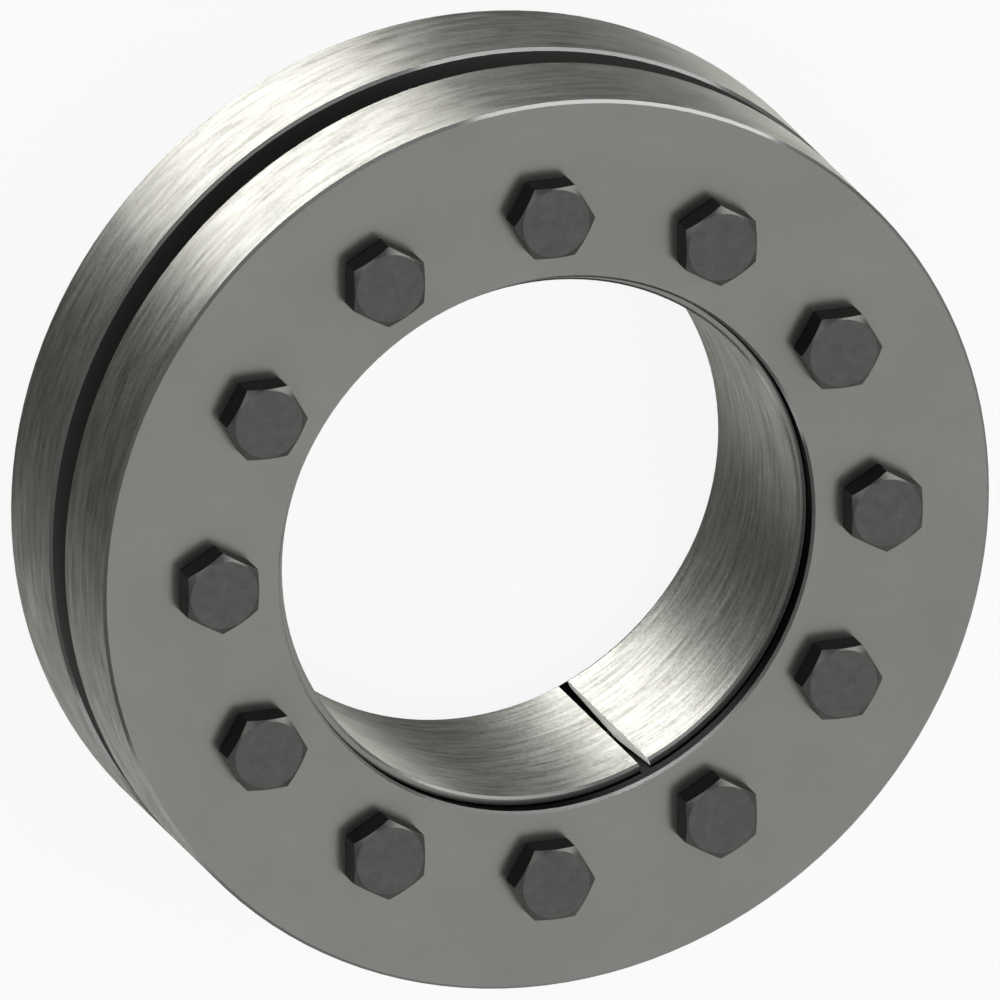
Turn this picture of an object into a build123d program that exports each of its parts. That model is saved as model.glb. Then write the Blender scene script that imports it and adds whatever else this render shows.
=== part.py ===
"""Keyless locking assembly of the three-piece shrink disc kind.

Two thrust collars with conical bores are drawn together by a circle of axial screws. They ride up
the two tapers of a slit inner ring and squeeze it onto the hub that it sits on. Millimetres, with
+Z along the bore towards the screw heads and the origin at the centre of the back face.
"""
import os
from math import cos, isclose, radians, sin, tan

from build123d import *

# Inner ring
bore_dia = 125.0
ring_end_wall = 2.0          # wall at each end of the ring, where its taper starts
ring_recess = 4.4            # how far each end lies inside the collar's outer face
ring_land_length = 3.0       # short cylinder between the two tapers
ring_bore_chamfer = 0.6
ring_rim_chamfer = 0.4
slit_width = 2.5
slit_bearing = 156.5         # degrees clockwise from the first screw, seen from the heads

# Tapers, and how the collars close on them
taper = 0.125                # radius gained for each millimetre of length
closing_travel = 4.0         # front collar, from as delivered to fully tightened
seated_clearance = 0.3       # radial, between the tapers when fully tightened

# Thrust collars
collar_width = 27.0
collar_gap = 9.6             # between the collars as delivered
screw_web = 7.125            # metal between the wide end of the taper and the screw holes
rim_wall = 21.5              # metal between the screw holes and the rim
collar_rim_chamfer = 0.7
collar_mouth_chamfer = 0.7
taper_edge_chamfer = 0.5     # on the wide end of each taper
hole_chamfer = 0.5           # on the tapped holes, at the back face

# Locking screws, M10 with a hexagon head
screw_count = 12
screw_dia = 10.0
hole_clearance = 0.5         # radial, in the front collar's plain holes
thread_clearance = 0.05      # radial, in the back collar's tapped holes
tip_setback = 4.6            # from the back face to the screws' tips when fully tightened
tip_chamfer = 1.0
head_across_flats = 17.0
head_height = 6.4
head_top_step = 0.4          # from the flats in to the flat top's edge
head_chamfer_angle = 30.0

# Places that follow from the sizes above
total_width = 2 * collar_width + collar_gap
middle = total_width / 2
bore_radius = bore_dia / 2
ring_half_length = middle - ring_recess
ring_end_radius = bore_radius + ring_end_wall
ring_land_radius = ring_end_radius + taper * (ring_half_length - ring_land_length / 2)
open_clearance = seated_clearance + taper * closing_travel / 2
mouth_radius = ring_end_radius + open_clearance - taper * ring_recess
wide_radius = mouth_radius + taper * collar_width
screw_radius = screw_dia / 2
hole_radius = screw_radius + hole_clearance
tapped_radius = screw_radius + thread_clearance
screw_circle_radius = wide_radius + screw_web + hole_radius
rim_radius = screw_circle_radius + hole_radius + rim_wall
screw_length = total_width - closing_travel - tip_setback


def bearing_point(bearing, radius):
    """Point at a bearing in degrees clockwise from +Y, seen from the screw heads."""
    return radius * sin(radians(bearing)), radius * cos(radians(bearing))


def circles(edges, radius):
    """The circular edges of one radius."""
    return edges.filter_by(GeomType.CIRCLE).filter_by(lambda edge: isclose(edge.radius, radius))


# Inner ring: a turned double taper, bored to the hub and sawn through once
with BuildPart() as inner_ring:
    with BuildSketch(Plane.XZ):
        with BuildLine():
            Polyline(
                (bore_radius, middle - ring_half_length),
                (ring_end_radius, middle - ring_half_length),
                (ring_land_radius, middle - ring_land_length / 2),
                (ring_land_radius, middle + ring_land_length / 2),
                (ring_end_radius, middle + ring_half_length),
                (bore_radius, middle + ring_half_length),
                close=True,
            )
        make_face()
    revolve(axis=Axis.Z)
    chamfer(circles(inner_ring.edges(), bore_radius), length=ring_bore_chamfer)
    chamfer(circles(inner_ring.edges(), ring_end_radius), length=ring_rim_chamfer)
    with BuildSketch(Plane(origin=(0, 0, 0), x_dir=(*bearing_point(slit_bearing, 1), 0))):
        Rectangle(rim_radius, slit_width, align=(Align.MIN, Align.CENTER))
    extrude(amount=total_width, mode=Mode.SUBTRACT)


def collar_blank(mouth_face, gap_face):
    """Section of a thrust collar, from its outer face to the face at the gap."""
    with BuildSketch(Plane.XZ) as section:
        with BuildLine():
            Polyline(
                (mouth_radius, mouth_face),
                (rim_radius, mouth_face),
                (rim_radius, gap_face),
                (wide_radius, gap_face),
                close=True,
            )
        make_face()
    return section.sketch


def break_edges(collar):
    """Chamfers on a collar's rim and on both ends of its conical bore."""
    chamfer(circles(collar.edges(), rim_radius), length=collar_rim_chamfer)
    chamfer(circles(collar.edges(), mouth_radius), length=collar_mouth_chamfer)
    chamfer(circles(collar.edges(), wide_radius), length=taper_edge_chamfer)


# Back collar: bored to the taper and tapped right through for the screws
with BuildPart() as back_collar:
    revolve(collar_blank(0, collar_width), axis=Axis.Z)
    break_edges(back_collar)
    with Locations((0, 0, collar_width)):
        with PolarLocations(screw_circle_radius, screw_count, start_angle=90):
            Hole(tapped_radius)
    back_face = back_collar.faces().sort_by(Axis.Z)[0]
    chamfer(circles(back_face.edges(), tapped_radius), length=hole_chamfer)

# Front collar: the same blank turned round, drilled with clearance for the screws
with BuildPart() as front_collar:
    revolve(collar_blank(total_width, total_width - collar_width), axis=Axis.Z)
    break_edges(front_collar)
    with Locations((0, 0, total_width)):
        with PolarLocations(screw_circle_radius, screw_count, start_angle=90):
            Hole(hole_radius)


def locking_screw(seat):
    """Hexagon head screw whose head bears on the seat plane, one flat facing the rim."""
    flat_radius = head_across_flats / 2
    corner_radius = flat_radius / cos(radians(30))
    top_radius = flat_radius - head_top_step
    chamfer_drop = (corner_radius - top_radius) * tan(radians(head_chamfer_angle))
    section = Plane(origin=seat.origin, x_dir=seat.x_dir, z_dir=-seat.y_dir)
    screw_axis = Axis(seat.origin, seat.z_dir)
    with BuildPart() as screw:
        with BuildSketch(seat):
            RegularPolygon(flat_radius, side_count=6, major_radius=False, rotation=30)
        extrude(amount=head_height)
        with BuildSketch(section):
            with BuildLine():
                Polyline(
                    (0, 0),
                    (corner_radius, 0),
                    (corner_radius, head_height - chamfer_drop),
                    (top_radius, head_height),
                    (0, head_height),
                    close=True,
                )
            make_face()
        revolve(axis=screw_axis, mode=Mode.INTERSECT)
        with BuildSketch(section):
            with BuildLine():
                Polyline(
                    (0, 0),
                    (screw_radius, 0),
                    (screw_radius, tip_chamfer - screw_length),
                    (screw_radius - tip_chamfer, -screw_length),
                    (0, -screw_length),
                    close=True,
                )
            make_face()
        revolve(axis=screw_axis)
    return screw.part


# Locking screws: one through each hole of the front collar into the back collar
locking_screws = []
for number in range(screw_count):
    x, y = bearing_point(number * 360 / screw_count, screw_circle_radius)
    screw = locking_screw(Plane(origin=(x, y, total_width), x_dir=(x, y, 0), z_dir=(0, 0, 1)))
    screw.label = f"locking_screw_{number + 1:02d}"
    locking_screws.append(screw)

inner_ring.part.label = "inner_ring"
back_collar.part.label = "back_collar"
front_collar.part.label = "front_collar"

os.makedirs("parts", exist_ok=True)
export_step(inner_ring.part, "parts/inner_ring.step")
export_step(back_collar.part, "parts/back_collar.step")
export_step(front_collar.part, "parts/front_collar.step")
for screw in locking_screws:
    export_step(screw, f"parts/{screw.label}.step")
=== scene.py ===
"""A keyless locking assembly: two thrust collars drawn together over a slit double-taper ring."""
import math

import bpy
from mathutils import Matrix, Vector


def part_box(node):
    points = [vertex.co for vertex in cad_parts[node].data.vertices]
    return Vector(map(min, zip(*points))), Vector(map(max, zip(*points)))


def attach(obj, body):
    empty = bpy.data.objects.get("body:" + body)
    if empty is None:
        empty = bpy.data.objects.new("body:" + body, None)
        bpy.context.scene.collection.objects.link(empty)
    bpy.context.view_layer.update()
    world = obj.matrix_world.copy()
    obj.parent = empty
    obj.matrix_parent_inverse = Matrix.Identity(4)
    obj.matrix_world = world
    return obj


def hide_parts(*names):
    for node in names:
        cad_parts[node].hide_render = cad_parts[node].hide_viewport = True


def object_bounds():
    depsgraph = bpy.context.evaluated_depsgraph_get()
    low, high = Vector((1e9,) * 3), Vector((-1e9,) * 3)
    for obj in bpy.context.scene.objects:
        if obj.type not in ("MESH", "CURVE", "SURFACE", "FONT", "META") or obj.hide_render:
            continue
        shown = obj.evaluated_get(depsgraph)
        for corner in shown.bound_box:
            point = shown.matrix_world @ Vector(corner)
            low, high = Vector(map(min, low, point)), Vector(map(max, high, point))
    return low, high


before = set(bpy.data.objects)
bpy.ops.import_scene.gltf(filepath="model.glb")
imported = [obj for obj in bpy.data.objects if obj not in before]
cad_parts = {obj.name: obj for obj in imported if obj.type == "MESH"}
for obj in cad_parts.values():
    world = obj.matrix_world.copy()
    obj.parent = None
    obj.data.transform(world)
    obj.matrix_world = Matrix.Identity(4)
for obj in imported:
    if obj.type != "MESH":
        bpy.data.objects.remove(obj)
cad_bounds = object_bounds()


# ---- Back thrust collar ------------------------------------------------------------------------
# A ring of quenched and tempered steel, turned all over and faced flat on both sides. Its inner
# cone and hole walls are painted near-black as shade, and twelve M10 holes are tapped through it.

class Signal:
    """One output of a node, so that sums and products of outputs read as plain arithmetic."""

    def __init__(self, tree, socket=None):
        self.tree = tree
        self.socket = socket

    def node(self, kind, settings=None, sockets=None, output=0):
        """Adds any node: its settings first, then its sockets' values or links."""
        made = self.tree.nodes.new(kind)
        for name, value in (settings or {}).items():
            if name == "choices":
                for _ in range(value - 2):
                    made.index_switch_items.new()
            elif name == "stops":
                ramp = made.color_ramp.elements
                for position, level in value[2:]:
                    ramp.new(position)
                for element, (position, level) in zip(ramp, value):
                    element.position = position
                    element.color = (level, level, level, 1.0)
            else:
                setattr(made, name, value)
        for place, value in (sockets or {}).items():
            if isinstance(value, Signal):
                self.tree.links.new(value.socket, made.inputs[place])
            else:
                made.inputs[place].default_value = value
        return Signal(self.tree, made.outputs[output] if made.outputs else None)

    def math(self, operation, *values):
        sockets = dict(enumerate(values))
        return self.node("ShaderNodeMath", {"operation": operation}, sockets)

    def __add__(self, other):
        return self.math("ADD", self, other)

    def __radd__(self, other):
        return self.math("ADD", other, self)

    def __sub__(self, other):
        return self.math("SUBTRACT", self, other)

    def __rsub__(self, other):
        return self.math("SUBTRACT", other, self)

    def __mul__(self, other):
        return self.math("MULTIPLY", self, other)

    def __rmul__(self, other):
        return self.math("MULTIPLY", other, self)

    def __abs__(self):
        return self.math("ABSOLUTE", self)

    def part(self, axis):
        """One coordinate of a vector."""
        return self.node("ShaderNodeSeparateXYZ", None, {0: self}, axis)

    def vector_math(self, operation, other=None, output=0):
        """A vector sum, product or measure, with one other vector where it needs one."""
        sockets = {0: self} if other is None else {0: self, 1: other}
        return self.node("ShaderNodeVectorMath", {"operation": operation}, sockets, output)

    def stretched(self, *factors):
        """A vector scaled by its own factor along each axis."""
        return self.vector_math("MULTIPLY", factors)

    def length(self):
        return self.vector_math("LENGTH", output="Value")

    def reach_along(self, direction):
        """How far a vector goes in a direction of length 1."""
        return self.vector_math("DOT_PRODUCT", direction, "Value")

    def grain(self, per_metre, detail):
        """Noise from 0 to 1 that follows this vector."""
        sockets = {"Vector": self, "Scale": per_metre, "Detail": detail, "Roughness": 0.6}
        return self.node("ShaderNodeTexNoise", None, sockets)

    def step(self, start, end):
        """Rises smoothly from 0 at start to 1 at end."""
        sockets = {"Value": self, "From Min": start, "From Max": end}
        return self.node("ShaderNodeMapRange", {"interpolation_type": "SMOOTHSTEP"}, sockets)

    def turned_toward(self, other, share):
        """This direction swung to another one by a share from 0 to 1, then given in world space."""
        settings = {"data_type": "VECTOR", "clamp_factor": True}
        swung = self.node("ShaderNodeMix", settings, {0: share, 4: self, 5: other}, 1)
        settings = {"vector_type": "NORMAL", "convert_from": "OBJECT", "convert_to": "WORLD"}
        return self.node("ShaderNodeVectorTransform", settings, {0: swung})

    def blend(self, first, second):
        """A colour between two others, with this value as the share of the second."""
        settings = {"data_type": "RGBA", "clamp_factor": True}
        return self.node("ShaderNodeMix", settings, {0: self, 6: first, 7: second}, 2)


def grey(level, warmth=0.02):
    """A steel colour: a grey level with the faint olive warmth of oiled steel."""
    return (level, level * (1.0 - warmth * 0.2), level * (1.0 - warmth * 2.2), 1.0)


def tool_path(place, around):
    """Follows the lathe tool: slow along its circles, fast from one circle to the next."""
    radius = place.stretched(1, 1, 0).length()
    lift = place.node("ShaderNodeCombineXYZ", None, {"Z": radius + place.part("Z")})
    return place.stretched(around, around, 0).vector_math("ADD", lift)


def blank_material(name):
    """A material with nothing in its tree yet, and the signal that its nodes start from."""
    material = bpy.data.materials.new(name)
    material.use_nodes = True
    material.node_tree.nodes.clear()
    return material, Signal(material.node_tree)


def bumped(start, strength, height, normal=None):
    """The surface's direction with fine relief on it, at most 0.2 mm deep."""
    sockets = {"Strength": strength, "Distance": 0.0002, "Height": height}
    if normal:
        sockets["Normal"] = normal
    return start.node("ShaderNodeBump", None, sockets)


def steel_shader(start, color, roughness, normal, extra=None):
    sockets = {"Base Color": color, "Roughness": roughness, "Normal": normal, "Metallic": 1.0}
    return start.node("ShaderNodeBsdfPrincipled", None, {**sockets, **(extra or {})})


def turned_finish(name, level, unshaded_radii, gap_shade_band=None, saw_cut=None, hollow=False):
    """Steel off the lathe: even faced ends, shade-painted chamfers and grooved round surfaces.

    Round surfaces are turned steel past the second of the unshaded radii, a rim's from there
    outwards or a bore's inwards; before the first of them, cones and holes are painted in shade.
    The gap argument gives a height and how far from it faces are painted in shade. saw_cut is a
    slit's bearing and half its width.
    """
    material, start = blank_material(name)
    place = start.node("ShaderNodeTexCoord", output="Object")
    facing = start.node("ShaderNodeTexCoord", output="Normal")
    from_axis = place.stretched(1, 1, 0)
    is_unshaded = from_axis.length().step(*unshaded_radii)

    # Upright is 1 on a faced end, 0.7 on a chamfer, and 0.12 or less on a cone, a rim or a bore.
    upright = abs(facing.part("Z"))
    is_round = 1 - upright.step(0.25, 0.35)
    is_flat = upright.step(0.93, 0.97)

    # Fine mottling, broad clouds, and two widths of the marks that the tool leaves along its path.
    speckle = place.grain(1100, 3.0)
    cloud = place.grain(45, 2.0)
    groove = tool_path(place, 0.03).grain(2600, 2.0)
    streak = tool_path(place, 0.12).grain(650, 2.0)

    # Faced ends and chamfers.
    faced_level = 0.205
    # The chamfers' near-black grey is painted shade, under a clear coat.
    edge_shade_color = grey(0.042)
    # Flat faces in the gap between the two collars get a darker grey: painted shade.
    gap_shade_color = grey(0.055)
    faced_tone = 0.5 + (speckle - 0.5) * 0.35 + (cloud - 0.5) * 0.6
    faced_color = faced_tone.blend(grey(faced_level * 0.86, 0.035), grey(faced_level * 1.14, 0.03))
    faced_color = is_flat.blend(edge_shade_color, faced_color)
    faced_rough = 1.0 + is_flat * ((speckle - 0.5) * 0.05 - 0.74)
    if gap_shade_band:
        height, reach = gap_shade_band
        # Flat faces within the reach of the gap's height take the painted shade.
        gap_shade_mask = is_flat * (1 - abs(place.part("Z") - height).step(reach, reach + 0.0002))
        faced_color = gap_shade_mask.blend(faced_color, gap_shade_color)
        faced_rough = faced_rough + gap_shade_mask * 0.20
    faced_normal = bumped(start, 0.05, is_flat * (speckle * 0.5 + groove * 0.2))
    edge_coat = {"Coat Weight": 1 - is_flat, "Coat Roughness": 0.15, "Coat IOR": 1.8}
    faced = steel_shader(start, faced_color, faced_rough, faced_normal, edge_coat)

    # Rims, bores and cones.
    # Round surfaces inside the unshaded radii get a near-black grey: painted shade in the recesses.
    recess_shade_color = grey(0.005)
    # The slit's sawn walls are painted near-white, as light in the slit.
    sawn_light_color = grey(0.80)
    tone = 0.5 + (speckle - 0.5) * 0.8 + (cloud - 0.5) * 0.5 + (streak - 0.5) * 1.6
    turned_color = tone.blend(grey(level * 0.6, 0.055), grey(level * 1.4, 0.035))
    turned_color = is_unshaded.blend(recess_shade_color, turned_color)
    metal = 1.0
    is_cylinder = is_unshaded
    if saw_cut:
        bearing, half_width = saw_cut
        across_slit = (math.cos(bearing), -math.sin(bearing), 0)
        at_slit = abs(place.reach_along(across_slit))
        sawn = 1 - at_slit.step(half_width + 0.00002, half_width + 0.00006)
        sawn = sawn * abs(facing.reach_along(across_slit)).step(0.8, 0.9)
        turned_color = sawn.blend(turned_color, sawn_light_color)
        metal = 1 - sawn * 0.8
        is_cylinder = is_unshaded * (1 - sawn)
    turned_rough = 0.55 + (speckle - 0.5) * 0.16 + (streak - 0.5) * 0.12

    # An unshaded round surface is a true cylinder, so its direction comes from the axis.
    outwards = place.stretched(-1, -1, 0) if hollow else from_axis
    true_facing = facing.turned_toward(outwards.vector_math("NORMALIZE"), is_cylinder)
    turned_normal = bumped(start, 0.12, speckle * 0.35 + groove * 0.65, true_facing)
    grooved = {"Metallic": metal, "Anisotropic": 0.94, "Anisotropic Rotation": 0.25,
               "Specular Tint": (0.4, 0.4, 0.4, 1.0)}
    turned = steel_shader(start, turned_color, turned_rough, turned_normal, grooved)

    mixed = start.node("ShaderNodeMixShader", None, {0: is_round, 1: faced, 2: turned})
    start.node("ShaderNodeOutputMaterial", None, {"Surface": mixed})
    return material


back_collar_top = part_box("back_collar")[1]
front_collar_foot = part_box("front_collar")[0]
rim_radius = back_collar_top.x
rim_only = (rim_radius - 0.0015, rim_radius - 0.0010)
gap_height = (back_collar_top.z + front_collar_foot.z) / 2
# How far from the gap's height the faces are painted in shade.
gap_shade_reach = 0.006
collar_steel = turned_finish("collar_finish", 0.12, rim_only, gap_shade_band=(gap_height, gap_shade_reach))
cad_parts["back_collar"].material_slots[0].material = collar_steel


# The tapped threads: in each hole one ridge winds upwards and runs out at both of its ends.

def new_tree(name, titles):
    """An empty geometry tree with named inputs, and one signal for each of them."""
    tree = bpy.data.node_groups.new(name, "GeometryNodeTree")
    tree.interface.new_socket("Geometry", in_out="OUTPUT", socket_type="NodeSocketGeometry")
    for title in titles:
        tree.interface.new_socket(title, in_out="INPUT", socket_type="NodeSocketFloat")
    entry = tree.nodes.new("NodeGroupInput")
    return Signal(tree), [Signal(tree, entry.outputs[title]) for title in titles]


def sheet_round_axis(start, rows, sides, turns):
    """A sheet, how far each of its points is across its rows (0 to 1), and how many turns along."""
    size = {"Size X": 1.0, "Size Y": turns, "Vertices X": rows, "Vertices Y": sides * turns + 1}
    sheet = start.node("GeometryNodeMeshGrid", None, size)
    spot = start.node("GeometryNodeInputPosition")
    return sheet, spot.part("X") + 0.5, spot.part("Y") + turns * 0.5


def wound(sheet, turns, radius, height):
    """The sheet wound round the upright axis, each point at its own radius and height."""
    angle = math.tau * turns
    x = radius * angle.math("COSINE", angle)
    y = radius * angle.math("SINE", angle)
    spot = sheet.node("ShaderNodeCombineXYZ", None, {"X": x, "Y": y, "Z": height})
    return sheet.node("GeometryNodeSetPosition", None, {"Geometry": sheet, "Position": spot})


def welded(start, *parts):
    """The parts as one closed mesh, smooth but for its sharp edges."""
    joined = start.node("GeometryNodeJoinGeometry")
    for part in parts:
        start.tree.links.new(part.socket, joined.socket.node.inputs[0])
    weld = start.node("GeometryNodeMergeByDistance", None, {"Geometry": joined, "Distance": 1e-6})
    smooth = start.node("GeometryNodeSetShadeSmooth", None, {0: weld})
    bend = start.node("GeometryNodeInputMeshEdgeAngle")
    sharp = bend.math("GREATER_THAN", bend, math.radians(22))
    crisp = {0: smooth, 1: sharp, 2: False}
    return start.node("GeometryNodeSetShadeSmooth", {"domain": "EDGE"}, crisp)


def close_tree(start, geometry, material):
    """Ends a tree: real faces in one material."""
    real = start.node("GeometryNodeRealizeInstances", None, {"Geometry": geometry})
    done = start.node("GeometryNodeSetMaterial", None, {"Geometry": real, "Material": material})
    exit_node = start.tree.nodes.new("NodeGroupOutput")
    start.tree.links.new(done.socket, exit_node.inputs[0])


def grown(name, tree, sizes, material):
    """A plain mesh object: the tree evaluated once with these sizes."""
    seed = bpy.data.objects.new("seed", bpy.data.meshes.new("seed"))
    bpy.context.scene.collection.objects.link(seed)
    modifier = seed.modifiers.new("shape", "NODES")
    modifier.node_group = tree
    for item in tree.interface.items_tree:
        if item.in_out == "INPUT":
            modifier[item.identifier] = float(sizes[item.name])
    bpy.context.view_layer.update()
    evaluated = seed.evaluated_get(bpy.context.evaluated_depsgraph_get())
    mesh = bpy.data.meshes.new_from_object(evaluated)
    mesh.materials.clear()
    mesh.materials.append(material)
    mesh.polygons.foreach_set("material_index", [0] * len(mesh.polygons))
    seed.modifiers.remove(modifier)
    bpy.data.objects.remove(seed)
    piece = bpy.data.objects.new(name, mesh)
    bpy.context.scene.collection.objects.link(piece)
    return piece


pitch = 0.0015
screw_count = 12
screw_low, screw_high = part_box("locking_screw_01")
screw_circle = (screw_low.y + screw_high.y) / 2
screw_tip = screw_low.z
tap_sizes = {
    "Pitch": pitch,
    "Crest Radius": 0.00419,
    "Wall Radius": 0.00507,
    "Slack": 0.00005,
    "First Height": (screw_tip + 0.125 * pitch) % pitch,
    "Circle Radius": screw_circle,
}
start, signals = new_tree("tapped_thread", tap_sizes)
tap_pitch, tap_crest, tap_wall, slack, first_height, circle = signals

# Five rows go round the ridge: wall, crest, crest, wall, and the first wall row again.
rows = 5
row_reach = 0.2
crest_rows = 0.375
upper_rows = 0.625
tap_sides = 24
tap_turns = 16
sheet, row, turns = sheet_round_axis(start, rows, tap_sides, tap_turns)
at_crest = row.math("COMPARE", row, crest_rows, row_reach)
above = row.math("COMPARE", row, upper_rows, row_reach) * 2.0 - 1.0

# Half the ridge's width is 7/16 of a pitch at the wall and 1/8 at the crest.
half_at_wall = 0.4375
half_at_crest = 0.125
half_width = (half_at_wall - at_crest * (half_at_wall - half_at_crest)) * tap_pitch - slack
run_out = 0.3
fade = turns.math("MINIMUM", turns, tap_turns - turns).step(0.0, run_out)
radius = tap_wall + (tap_crest - tap_wall) * at_crest * fade
height = first_height + tap_pitch * turns + above * half_width * fade
ridge = welded(start, wound(sheet, turns, radius, height))

holes = start.node("GeometryNodeMeshCircle", None, {"Vertices": screw_count, "Radius": circle})
spot = start.node("GeometryNodeInputPosition")
heading = spot.math("ARCTAN2", spot.part("Y"), spot.part("X"))
heading = start.node("ShaderNodeCombineXYZ", None, {"Z": heading})
spread = {"Points": holes, "Instance": ridge, "Rotation": heading}
close_tree(start, start.node("GeometryNodeInstanceOnPoints", None, spread), collar_steel)
tapped_threads = grown("tapped_threads", start.tree, tap_sizes, collar_steel)
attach(tapped_threads, "back_collar")


# ---- Inner ring --------------------------------------------------------------------------------
# Double-taper ring of the same steel, thick in the middle, turned outside and bored to the hub. It
# is sawn through at one place so that it can close, and lies loose between the two collars' cones.

bore_radius = 0.0625
bore_only = (bore_radius + 0.0015, bore_radius + 0.0007)
slit_bearing = math.radians(156.5)
slit_width = 0.0025
saw_cut = (slit_bearing, slit_width / 2)
ring_steel = turned_finish("ring_finish", 0.13, bore_only, saw_cut=saw_cut, hollow=True)
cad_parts["inner_ring"].material_slots[0].material = ring_steel


# ---- Front thrust collar -----------------------------------------------------------------------
# The back collar's twin turned round, of the same steel and finish. Its twelve holes are drilled
# plain, with clearance, so that it slides along the screws when they are tightened.

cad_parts["front_collar"].material_slots[0].material = collar_steel


# ---- Locking screws ----------------------------------------------------------------------------
# Twelve M10 hexagon screws of high-tensile steel, forged, thread-rolled and heat-blackened. Each
# goes through the front collar into a tapped hole of the back one, with its head on the face.

def blackened_finish(name, level):
    """Heat-blackened steel: satin and mottled, with smoother tops and sides in painted shade."""
    material, start = blank_material(name)
    place = start.node("ShaderNodeTexCoord", output="Object")
    facing = start.node("ShaderNodeTexCoord", output="Normal")
    speckle = place.grain(1400, 3.0)
    blotch = place.grain(330, 2.0)
    tone = 0.5 + (speckle - 0.5) * 0.7 + (blotch - 0.5)
    is_top = facing.part("Z").step(0.3, 0.6)
    top_color = tone.blend(grey(level * 0.75), grey(level * 1.25))
    # The sides are painted an eighth as bright as the tops: painted shade.
    color = is_top.blend(grey(level * 0.12), top_color)
    rough = 0.58 - is_top * 0.30 + (speckle - 0.5) * 0.12 + (blotch - 0.5) * 0.10
    normal = bumped(start, 0.10, speckle * 0.4 + blotch * 0.6)
    steel = steel_shader(start, color, rough, normal)
    start.node("ShaderNodeOutputMaterial", None, {"Surface": steel})
    return material


screw_steel = blackened_finish("screw_finish", 0.088)
seat_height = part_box("front_collar")[1].z
screw_sizes = {
    "Pitch": pitch,
    "Thread Radius": 0.0050,
    "Root Radius": 0.00408,
    "Tip Radius": 0.0040,
    "Tip": screw_tip - seat_height,
    "Neck": -0.0030,
    "Across Flats": 0.0170,
    "Head Height": screw_high.z - seat_height,
    "Head Top Radius": 0.0081,
    "Washer Radius": 0.0078,
    "Washer Height": 0.0004,
    "Circle Radius": screw_circle,
    "Seat Height": seat_height,
    "Heading": 0.0,
}
start, signals = new_tree("locking_screw", screw_sizes)
lead, outer, root, tip_radius, tip, neck = signals[:6]
flats, head_height, top_radius, washer_radius, washer_height, circle, seat, heading = signals[6:]

# The rolled thread, from the chamfered tip to the neck under the head: three of its five rows lie
# at the root, and the two at the crest are drawn halfway together.
crest_rows = 0.625
sides = 48
thread_turns = math.ceil((screw_sizes["Neck"] - screw_sizes["Tip"]) / pitch) + 1
sheet, row, turns = sheet_round_axis(start, rows, sides, thread_turns)
at_crest = row.math("COMPARE", row, crest_rows, row_reach)
flank = row + at_crest * (crest_rows - row) * 0.5
height = tip + lead * (turns + flank - 1.0)
height = height.math("MAXIMUM", height.math("MINIMUM", height, neck), tip)
radius = root + at_crest * (outer - root)
radius = radius.math("MINIMUM", radius, tip_radius + (height - tip))
radius = radius.math("MINIMUM", radius, root + (neck - height))
thread = wound(sheet, turns, radius, height)

# Neck, washer face, hexagon and the turned chamfer that rounds its corners, one row for each edge.
head_rows = 7
sector = math.pi / 3
chamfer_slope = math.tan(math.radians(30))
sheet, row, turns = sheet_round_axis(start, head_rows, sides, 1)
angle = turns * math.tau
off_flat = angle.math("MODULO", angle + sector / 2, sector) - sector / 2
hexagon = flats * 0.5 * off_flat.math("DIVIDE", 1.0, off_flat.math("COSINE", off_flat))
beyond = hexagon - top_radius
corner_height = head_height - beyond.math("MAXIMUM", beyond, 0.0) * chamfer_slope
row_number = row.math("ROUND", row * (head_rows - 1.0))
radii = {0: row_number, 1: root, 2: root, 3: washer_radius, 4: washer_radius, 5: hexagon,
         6: hexagon, 7: top_radius}
heights = {0: row_number, 1: neck, 2: 0.0, 3: 0.0, 4: washer_height, 5: washer_height,
           6: corner_height, 7: head_height}
pick = {"data_type": "FLOAT", "choices": head_rows}
radius = start.node("GeometryNodeIndexSwitch", pick, radii)
height = start.node("GeometryNodeIndexSwitch", pick, heights)
head = wound(sheet, turns, radius, height)


def lid(start, radius, height, turned_over):
    """A flat disc that closes the screw at one end."""
    disc = {"Vertices": sides, "Radius": radius}
    disc = start.node("GeometryNodeMeshCircle", {"fill_type": "NGON"}, disc)
    if turned_over:
        disc = start.node("GeometryNodeFlipFaces", None, {0: disc})
    lift = start.node("ShaderNodeCombineXYZ", None, {"Z": height})
    return start.node("GeometryNodeTransform", None, {"Geometry": disc, "Translation": lift})


tip_lid = lid(start, tip_radius, tip, True)
top_lid = lid(start, top_radius, head_height, False)
screw = welded(start, thread, head, tip_lid, top_lid)
where = start.node("ShaderNodeCombineXYZ", None, {"X": circle, "Z": seat})
screw = start.node("GeometryNodeTransform", None, {"Geometry": screw, "Translation": where})
turn = start.node("ShaderNodeCombineXYZ", None, {"Z": heading})
screw = start.node("GeometryNodeTransform", None, {"Geometry": screw, "Rotation": turn})
close_tree(start, screw, screw_steel)

screws = []
for number in range(screw_count):
    node = f"locking_screw_{number + 1:02d}"
    screw_sizes["Heading"] = math.radians(90 - number * 360 / screw_count)
    piece = grown(f"screw_{number + 1:02d}", start.tree, screw_sizes, screw_steel)
    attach(piece, node)
    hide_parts(node)
    screws.append(piece)


# ---- Studio ------------------------------------------------------------------------------------
# A plain white table that keeps a faint shadow, under a soft sky that is darker low down and white
# to look at. Each soft box lights one group of pieces: collars, ring, all turned steel, or screws.

low, high = cad_bounds
middle = (low + high) / 2
white = (1, 1, 1, 1)

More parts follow.
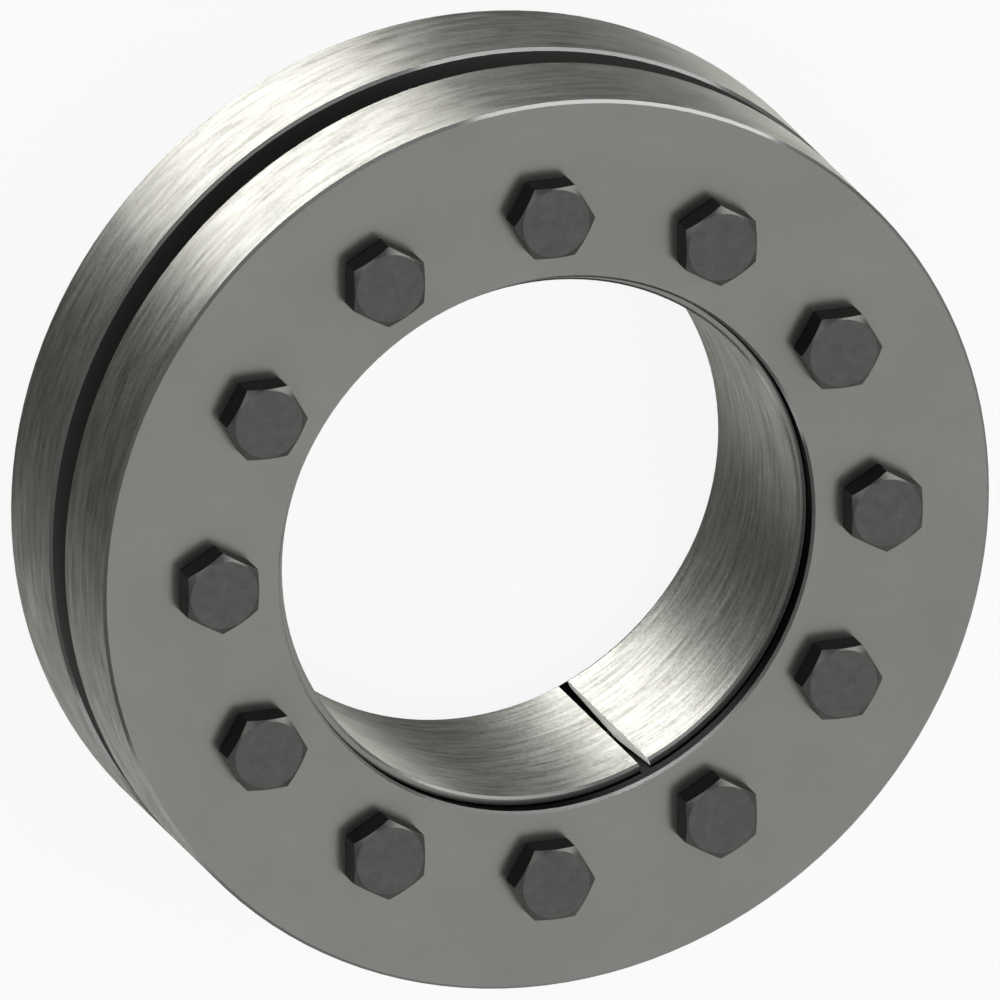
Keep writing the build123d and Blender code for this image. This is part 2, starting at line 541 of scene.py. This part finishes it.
# The table lies a hair below the back face, so that the two don't share one plane.
table_drop = 0.0002
bpy.ops.mesh.primitive_plane_add(size=12.0, location=(0, 0, low.z - table_drop))
table = bpy.context.object
table.name = "table"
table_white, start = blank_material("table_white")
matt = start.node("ShaderNodeBsdfDiffuse", None, {"Color": (0.88, 0.88, 0.88, 1)})
glow = start.node("ShaderNodeEmission", None, {"Color": white, "Strength": 1.0})
glowing = start.node("ShaderNodeLightPath", output="Is Camera Ray") * 0.9
glowing = glowing + start.node("ShaderNodeLightPath", output="Is Glossy Ray") * 0.4
glowing = glowing + start.node("ShaderNodeLightPath", output="Is Transmission Ray") * 0.4
top_side = start.node("ShaderNodeMixShader", None, {0: glowing, 1: matt, 2: glow})
from_below = start.node("ShaderNodeNewGeometry", output="Backfacing")
clear = start.node("ShaderNodeBsdfTransparent")
both_sides = start.node("ShaderNodeMixShader", None, {0: from_below, 1: top_side, 2: clear})
start.node("ShaderNodeOutputMaterial", None, {"Surface": both_sides})
table.data.materials.append(table_white)

world = bpy.data.worlds.new("sky")
bpy.context.scene.world = world
world.use_nodes = True
world.node_tree.nodes.clear()
start = Signal(world.node_tree)


def toward(bearing, elevation):
    """The direction at a bearing clockwise from +Y and an elevation above the table, in degrees."""
    b = math.radians(bearing)
    e = math.radians(elevation)
    return Vector((math.sin(b) * math.cos(e), math.cos(b) * math.cos(e), math.sin(e)))


brightest = toward(137.7, 62)
nearness = start.node("ShaderNodeTexCoord", output="Generated").reach_along(brightest)
stops = [(0.0, 0.16), (0.30, 0.18), (0.80, 1.0), (1.0, 1.0)]
sky = nearness.node("ShaderNodeValToRGB", {"stops": stops}, {0: nearness})
lighting = start.node("ShaderNodeBackground", None, {"Color": sky, "Strength": 1.0})
backdrop = start.node("ShaderNodeBackground", None, {"Color": white, "Strength": 1.0})
seen = start.node("ShaderNodeLightPath", output="Is Camera Ray")
background = start.node("ShaderNodeMixShader", None, {0: seen, 1: lighting, 2: backdrop})
start.node("ShaderNodeOutputWorld", None, {"Surface": background})


def soft_box(name, lit, bearing, elevation, distance, width, height, radiance, tilt):
    """A rectangular lamp that faces the assembly, turned by its tilt, and lights only the lit."""
    data = bpy.data.lights.new(name, "AREA")
    data.shape = "RECTANGLE"
    data.size = width
    data.size_y = height
    data.energy = radiance * math.pi * width * height
    box = bpy.data.objects.new(name, data)
    outward = toward(bearing, elevation)
    box.location = middle + outward * distance
    level = outward.to_track_quat("Z", "Y").to_matrix()
    box.rotation_euler = (level @ Matrix.Rotation(math.radians(tilt), 3, "Z")).to_euler()
    bpy.context.scene.collection.objects.link(box)
    box.light_linking.receiver_collection = bpy.data.collections.new("lit by " + name)
    for piece in lit:
        box.light_linking.receiver_collection.objects.link(piece)


ring = [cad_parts["inner_ring"]]
collars = [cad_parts["back_collar"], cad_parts["front_collar"], tapped_threads]
turned_pieces = [*collars, *ring]
lamps = [
    # name, lit, bearing, elevation, distance, width, height, radiance, tilt
    ("rim_lamp", collars, 335.5, 9, 2.0, 1.80, 0.35, 134.0, 0),
    ("bore_lamp", ring, 337.5, 45, 2.0, 1.00, 0.40, 180.0, 0),
    ("edge_lamp", turned_pieces, 31, 17, 1.0, 0.94, 0.08, 8.5, 16),
    ("right_lamp", turned_pieces, 69, 26, 1.0, 0.40, 0.50, 18.5, 0),
    ("left_lamp", turned_pieces, 211, 38, 1.0, 1.00, 0.40, 8.2, 0),
    ("low_lamp", turned_pieces, 211, 7, 1.0, 0.56, 0.14, 2.8, 0),
    ("head_lamp", screws, 317.7, 62, 1.0, 0.50, 0.50, 1.0, 0),
    ("glint_lamp", screws, 46, 41, 1.0, 0.60, 0.30, 3.5, 0),
]
for lamp in lamps:
    soft_box(*lamp)


# ---- Camera ------------------------------------------------------------------------------------
# Looks at the front face from a little to the left and above, with no perspective, and so close
# that the assembly fills the frame.

camera_data = bpy.data.cameras.new("camera")
camera_data.type = "ORTHO"
camera_data.ortho_scale = 0.22841
camera_data.clip_end = 10.0
swing = math.radians(19.68)
rise = math.radians(20.30)
right = Vector((math.cos(swing), 0, math.sin(swing)))
up = Vector((math.sin(swing) * math.sin(rise), math.cos(rise), -math.cos(swing) * math.sin(rise)))
back = right.cross(up)
centre = right * 0.010707 - up * 0.010498
stand_off = 1.0
camera = bpy.data.objects.new("camera", camera_data)
bpy.context.scene.collection.objects.link(camera)
turned = Matrix((right, up, back)).transposed().to_4x4()
camera.matrix_world = Matrix.Translation(centre + back * stand_off) @ turned
bpy.context.scene.camera = camera
bpy.context.scene.view_settings.view_transform = "Standard"
